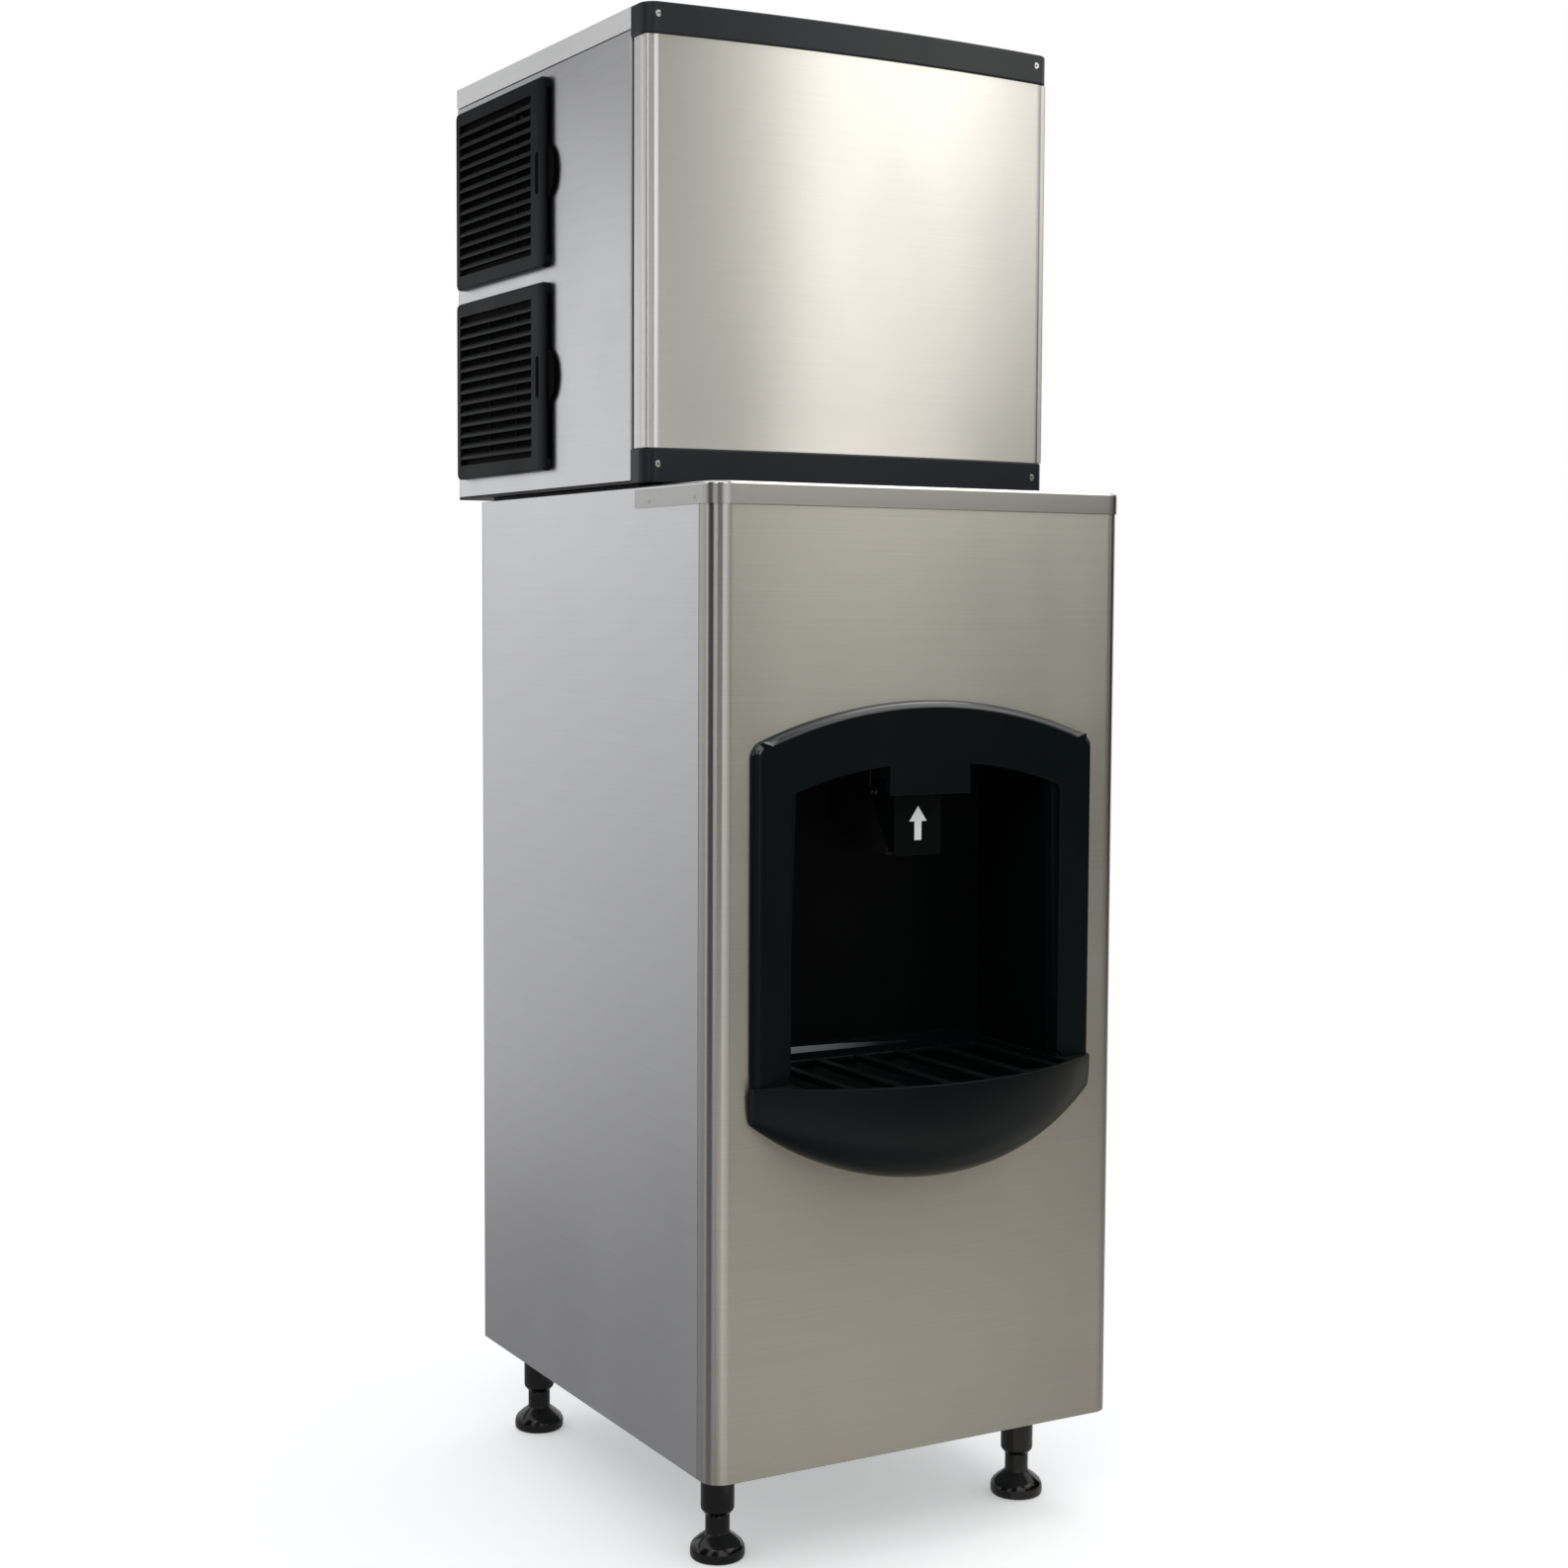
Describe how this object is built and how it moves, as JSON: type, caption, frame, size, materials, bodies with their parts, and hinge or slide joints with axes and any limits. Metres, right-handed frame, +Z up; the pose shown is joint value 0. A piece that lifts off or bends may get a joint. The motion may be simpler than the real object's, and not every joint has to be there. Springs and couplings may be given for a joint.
{
  "type": "ice dispenser",
  "caption": "Floor-standing stainless ice dispenser with a black alcove, drip bowl and push lever, under a modular air-cooled ice-making head with side air filters.",
  "frame": {"origin": "on the floor, in the middle of the assembly's footprint", "axes": "+Z up, +X to the right as seen from the front, +Y towards the back; the front faces -Y"},
  "size_m": [0.572, 0.816, 1.8],
  "materials": {
    "leg_sleeve_front_left": "glossy black",
    "levelling_foot_front_left": "glossy black",
    "leg_sleeve_front_right": "glossy black",
    "levelling_foot_front_right": "glossy black",
    "leg_sleeve_rear_left": "glossy black",
    "levelling_foot_rear_left": "glossy black",
    "leg_sleeve_rear_right": "glossy black",
    "levelling_foot_rear_right": "glossy black",
    "cabinet_base_pan": "dull zinc-coated sheet",
    "cabinet_left_panel": "fine horizontal brushing, satin",
    "cabinet_right_panel": "fine horizontal brushing, satin",
    "cabinet_back_panel": "dull zinc-coated sheet",
    "cabinet_front_panel": "fine horizontal brushing, satin",
    "top_deck": "dull zinc-coated sheet",
    "top_ledge_cover": "fine horizontal brushing, satin",
    "head_seal": "soft black foam rubber",
    "alcove_bezel": "satin black moulding",
    "alcove_liner": "matt black",
    "drip_basin": "satin black moulding",
    "drip_grille": "satin black moulding",
    "ice_chute": "matt black",
    "ice_gate": "fine horizontal brushing, satin",
    "push_lever": "satin black moulding",
    "lever_pin": "bright steel",
    "lever_spring": "bright steel",
    "lever_switch": "matt black",
    "switch_plunger": "plain white food-grade plastic",
    "ice_bin": "plain white food-grade plastic",
    "drive_shaft": "fine horizontal brushing, satin",
    "dispense_wheel": "plain white food-grade plastic",
    "agitator": "fine horizontal brushing, satin",
    "gear_motor": "grey paint",
    "dispenser_control_box": "dull zinc-coated sheet",
    "drain_pipe": "plain white food-grade plastic",
    "power_gland": "matt black",
    "head_front_panel": "fine horizontal brushing, satin",
    "head_bottom_trim": "satin charcoal moulding",
    "head_top_trim": "satin charcoal moulding",
    "head_base": "matt black",
    "head_right_panel": "fine horizontal brushing, satin",
    "head_left_panel": "fine horizontal brushing, satin",
    "head_back_panel": "dull zinc-coated sheet",
    "head_top_cover": "fine horizontal brushing, satin",
    "upper_air_grille": "satin black moulding",
    "lower_air_grille": "satin black moulding",
    "upper_air_filter": "matt black",
    "lower_air_filter": "matt black",
    "condenser": "bare aluminium fins",
    "fan_shroud": "matt black",
    "fan_blade": "matt black",
    "fan_motor": "grey paint",
    "compressor": "black enamel",
    "head_partition": "dull zinc-coated sheet",
    "evaporator_frame": "plain white food-grade plastic",
    "evaporator": "bright steel",
    "water_curtain": "plain white food-grade plastic",
    "water_trough": "plain white food-grade plastic",
    "water_pump": "grey paint",
    "head_control_box": "dull zinc-coated sheet",
    "water_inlet": "plain brass"
  },
  "bodies": {
    "cabinet": {"leg_sleeve_front_left": "leg_sleeve_front_left", "leg_sleeve_front_right": "leg_sleeve_front_right", "leg_sleeve_rear_left": "leg_sleeve_rear_left", "leg_sleeve_rear_right": "leg_sleeve_rear_right", "cabinet_base_pan": "cabinet_base_pan", "cabinet_left_panel": "cabinet_left_panel", "cabinet_right_panel": "cabinet_right_panel", "cabinet_back_panel": "cabinet_back_panel", "cabinet_front_panel": "cabinet_front_panel", "top_deck": "top_deck", "top_ledge_cover": "top_ledge_cover", "head_seal": "head_seal", "alcove_bezel": "alcove_bezel", "alcove_liner": "alcove_liner", "drip_basin": "drip_basin", "ice_chute": "ice_chute", "lever_pin": "lever_pin", "lever_spring": "lever_spring", "lever_switch": "lever_switch", "ice_bin": "ice_bin", "gear_motor": "gear_motor", "dispenser_control_box": "dispenser_control_box", "drain_pipe": "drain_pipe", "power_gland": "power_gland", "head_front_panel": "head_front_panel", "head_bottom_trim": "head_bottom_trim", "head_top_trim": "head_top_trim", "head_base": "head_base", "head_right_panel": "head_right_panel", "head_left_panel": "head_left_panel", "head_back_panel": "head_back_panel", "head_top_cover": "head_top_cover", "upper_air_grille": "upper_air_grille", "lower_air_grille": "lower_air_grille", "condenser": "condenser", "fan_shroud": "fan_shroud", "fan_motor": "fan_motor", "compressor": "compressor", "head_partition": "head_partition", "evaporator_frame": "evaporator_frame", "evaporator": "evaporator", "water_trough": "water_trough", "water_pump": "water_pump", "head_control_box": "head_control_box", "water_inlet": "water_inlet"},
    "dispense_drive": {"dispense_wheel": "dispense_wheel", "drive_shaft": "drive_shaft", "agitator": "agitator"},
    "gate": {"ice_gate": "ice_gate"},
    "grille": {"drip_grille": "drip_grille"},
    "lever": {"push_lever": "push_lever"},
    "plunger": {"switch_plunger": "switch_plunger"},
    "upper_filter": {"upper_air_filter": "upper_air_filter"},
    "lower_filter": {"lower_air_filter": "lower_air_filter"},
    "fan": {"fan_blade": "fan_blade"},
    "curtain": {"water_curtain": "water_curtain"},
    "foot_front_left": {"levelling_foot_front_left": "levelling_foot_front_left"},
    "foot_front_right": {"levelling_foot_front_right": "levelling_foot_front_right"},
    "foot_rear_left": {"levelling_foot_rear_left": "levelling_foot_rear_left"},
    "foot_rear_right": {"levelling_foot_rear_right": "levelling_foot_rear_right"}
  },
  "joints": [
    {"name": "foot_screw_front_left", "type": "slide", "parent": "cabinet", "child": "foot_front_left", "axis": [0, 0, -1], "range_m": [0, 0.025]},
    {"name": "foot_screw_front_right", "type": "slide", "parent": "cabinet", "child": "foot_front_right", "axis": [0, 0, -1], "range_m": [0, 0.025]},
    {"name": "foot_screw_rear_left", "type": "slide", "parent": "cabinet", "child": "foot_rear_left", "axis": [0, 0, -1], "range_m": [0, 0.025]},
    {"name": "foot_screw_rear_right", "type": "slide", "parent": "cabinet", "child": "foot_rear_right", "axis": [0, 0, -1], "range_m": [0, 0.025]},
    {"name": "drive_spin", "type": "hinge", "parent": "cabinet", "child": "dispense_drive", "pos_m": [0, -0.026, 0.83979], "axis": [0, 1, 0], "continuous": true},
    {"name": "lever_push", "type": "hinge", "parent": "cabinet", "child": "lever", "pos_m": [0, -0.265, 0.9], "axis": [1, 0, 0], "range_deg": [0, 12], "stiffness_Nm_per_rad": 0.3, "springref_deg": -17.19},
    {"name": "gate_swing", "type": "hinge", "parent": "cabinet", "child": "gate", "pos_m": [0, -0.0363, 0.97702], "axis": [-1, 0, 0], "range_deg": [0, 37]},
    {"name": "plunger_travel", "type": "slide", "parent": "cabinet", "child": "plunger", "axis": [0, 0, 1], "range_m": [0, 0.002]},
    {"name": "grille_lift", "type": "slide", "parent": "cabinet", "child": "grille", "axis": [0, 0, 1], "range_m": [0, 0.15]},
    {"name": "upper_filter_pull", "type": "slide", "parent": "cabinet", "child": "upper_filter", "axis": [0, -1, 0], "range_m": [0, 0.28]},
    {"name": "lower_filter_pull", "type": "slide", "parent": "cabinet", "child": "lower_filter", "axis": [0, -1, 0], "range_m": [0, 0.28]},
    {"name": "fan_spin", "type": "hinge", "parent": "cabinet", "child": "fan", "pos_m": [-0.1943, 0.261, 1.4895], "axis": [1, 0, 0], "continuous": true},
    {"name": "curtain_swing", "type": "hinge", "parent": "cabinet", "child": "curtain", "pos_m": [0, 0.024, 1.71], "axis": [-1, 0, 0], "range_deg": [0, 25]}
  ],
  "couplings": [
    {"joint": "gate_swing", "follows": "lever_push", "ratio": 3},
    {"joint": "plunger_travel", "follows": "lever_push", "m_per_rad": 0.0092}
  ]
}
